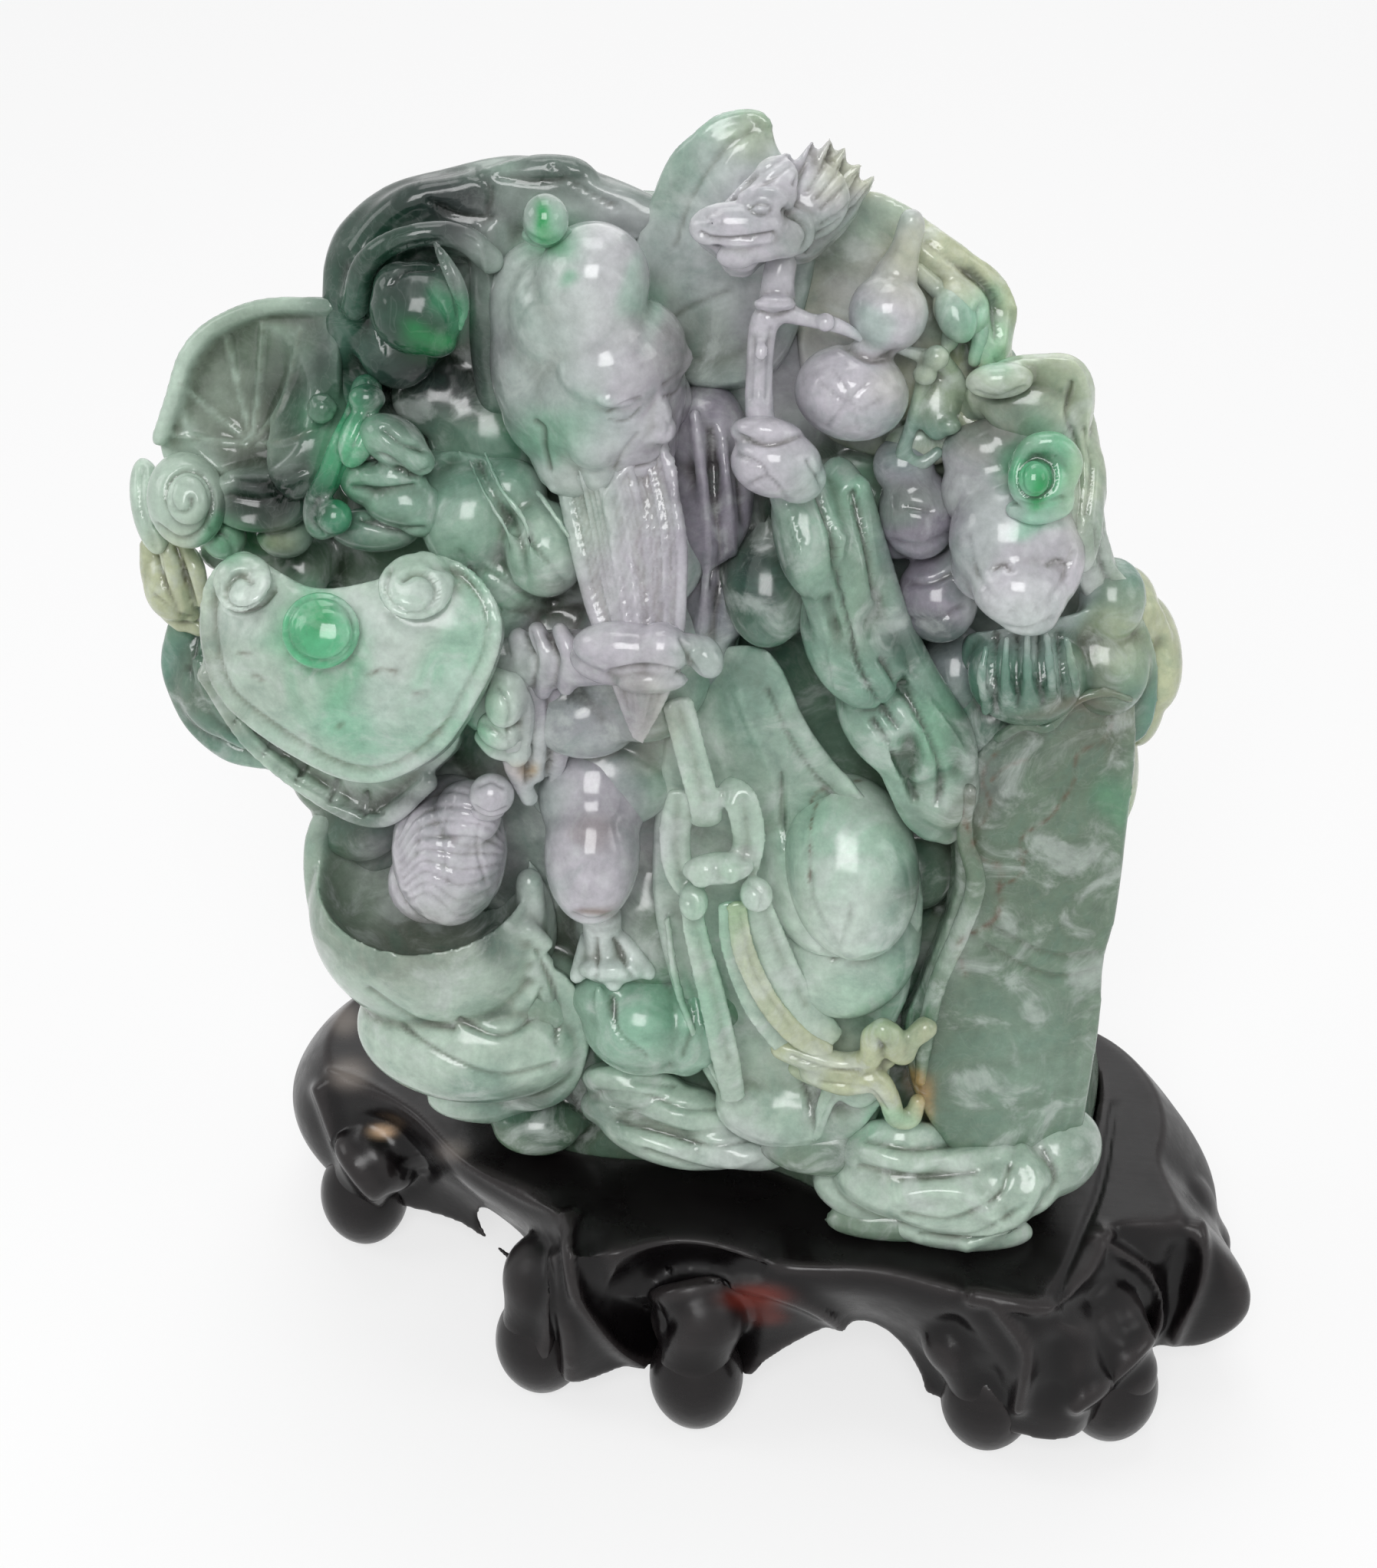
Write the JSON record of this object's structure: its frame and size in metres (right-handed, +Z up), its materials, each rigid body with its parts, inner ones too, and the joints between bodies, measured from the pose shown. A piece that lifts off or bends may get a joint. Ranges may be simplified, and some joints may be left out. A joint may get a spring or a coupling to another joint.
{
  "type": "jade figure group",
  "caption": "Standing jade carving of an elder with staff, gourd and sceptre head among lotus leaves, seated in a carved hardwood stand on knob feet.",
  "frame": {"origin": "under the middle of the whole object, on the plane that the stand's feet rest on", "axes": "+Z up, -Y out of the carved front, +X to the right when the front is faced"},
  "size_m": [0.1846, 0.0843, 0.2248],
  "materials": {
    "green_jade": "polished pale green jade with cloudy patches",
    "lavender_jade": "polished grey-lavender jade",
    "dark_jade": "polished dark green jade",
    "bright_jade": "polished bright green jade",
    "dark_wood": "dark lacquered hardwood, rubbed glossy"
  },
  "bodies": {
    "stand": {"stand_body": "dark_wood", "stand_foot_1": "dark_wood", "stand_foot_2": "dark_wood", "stand_foot_3": "dark_wood", "stand_foot_4": "dark_wood", "stand_foot_5": "dark_wood", "stand_foot_6": "dark_wood", "stand_foot_7": "dark_wood", "stand_foot_8": "dark_wood", "stand_foot_9": "dark_wood"},
    "carving": {"antler": "green_jade", "back_leaf": "green_jade", "beard_hand": "lavender_jade", "boy_head": "lavender_jade", "boy_topknot": "lavender_jade", "cloud_column": "lavender_jade", "crest_leaf": "green_jade", "crumpled_leaf": "green_jade", "cup_leaf": "green_jade", "deer_body": "green_jade", "deer_head": "lavender_jade", "double_gourd": "lavender_jade", "dragon_head": "lavender_jade", "forehead_dome": "green_jade", "fungus_caps": "green_jade", "fungus_stem": "green_jade", "gourd_ribbon": "green_jade", "hand_sleeve": "green_jade", "head_knob": "bright_jade", "hem_scarf": "green_jade", "hood_leaf": "dark_jade", "left_knee": "lavender_jade", "left_shoe": "green_jade", "left_shoulder": "lavender_jade", "left_trouser": "green_jade", "lingzhi_knob": "bright_jade", "lotus_leaf": "dark_jade", "lotus_pod": "green_jade", "low_leaf": "green_jade", "pale_leaf": "green_jade", "peach": "dark_jade", "right_knee": "green_jade", "right_shoe": "green_jade", "rock_core": "green_jade", "ruyi_back_plate": "green_jade", "ruyi_boss": "bright_jade", "ruyi_bow": "green_jade", "ruyi_head": "green_jade", "sage_beard": "green_jade", "sage_head": "lavender_jade", "sage_robe": "green_jade", "sage_torso": "green_jade", "sash": "green_jade", "side_ribbon": "green_jade", "sleeve_drape": "green_jade", "staff_hand": "lavender_jade", "staff_shaft": "lavender_jade", "staff_sleeve": "green_jade", "tall_leaf": "green_jade", "trouser_flare": "green_jade"}
  },
  "joints": [
    {"name": "carving_lift", "type": "slide", "parent": "stand", "child": "carving", "axis": [0, 0, 1], "range_m": [0, 0.05]}
  ]
}
